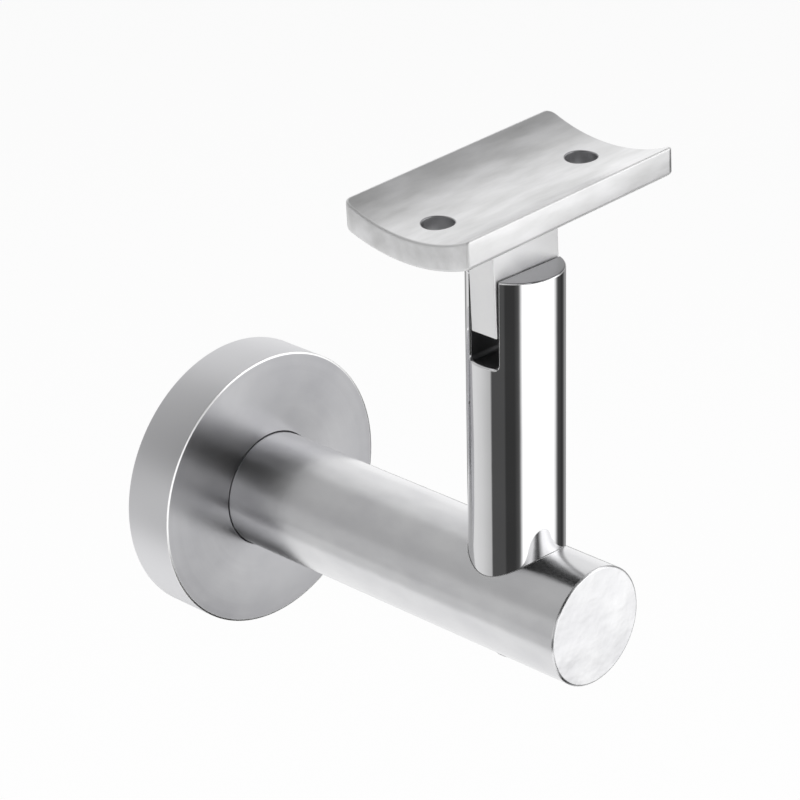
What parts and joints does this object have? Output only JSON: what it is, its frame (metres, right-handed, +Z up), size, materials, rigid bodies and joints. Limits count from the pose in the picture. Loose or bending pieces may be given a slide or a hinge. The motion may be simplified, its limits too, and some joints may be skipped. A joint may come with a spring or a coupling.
{
  "type": "handrail bracket",
  "caption": "Wall bracket for a handrail: round rose, straight round arm, upright post and a curved rail saddle that tilts in the post's slotted head.",
  "frame": {"origin": "centre of the wall-screw circle, on the wall side of the wall plate", "axes": "+Y into the wall, -Y out along the arm, +Z up along the post, X along the handrail"},
  "size_m": [0.062, 0.1073, 0.125],
  "materials": {
    "plate_steel": "turned",
    "screw_steel": "bright",
    "rose_steel": "satin",
    "ring_rubber": "matt",
    "arm_steel": "satin",
    "post_steel": "mirror polished",
    "saddle_steel": "satin"
  },
  "bodies": {
    "bracket": {"wall_plate": "plate_steel", "arm_screw": "screw_steel", "locating_pin": "screw_steel", "arm": "arm_steel", "post": "post_steel", "post_screw": "screw_steel", "pivot_screw": "screw_steel"},
    "rose": {"wall_cover": "rose_steel", "cover_ring": "ring_rubber"},
    "head": {"saddle": "saddle_steel"}
  },
  "joints": [
    {"name": "saddle_tilt", "type": "hinge", "parent": "bracket", "child": "head", "pos_m": [0, -0.0858, 0.066], "axis": [0, -1, 0], "range_deg": [-92.7, 87.3]},
    {"name": "cover_slide", "type": "slide", "parent": "bracket", "child": "rose", "axis": [0, -1, 0], "range_m": [0, 0.0628]}
  ]
}
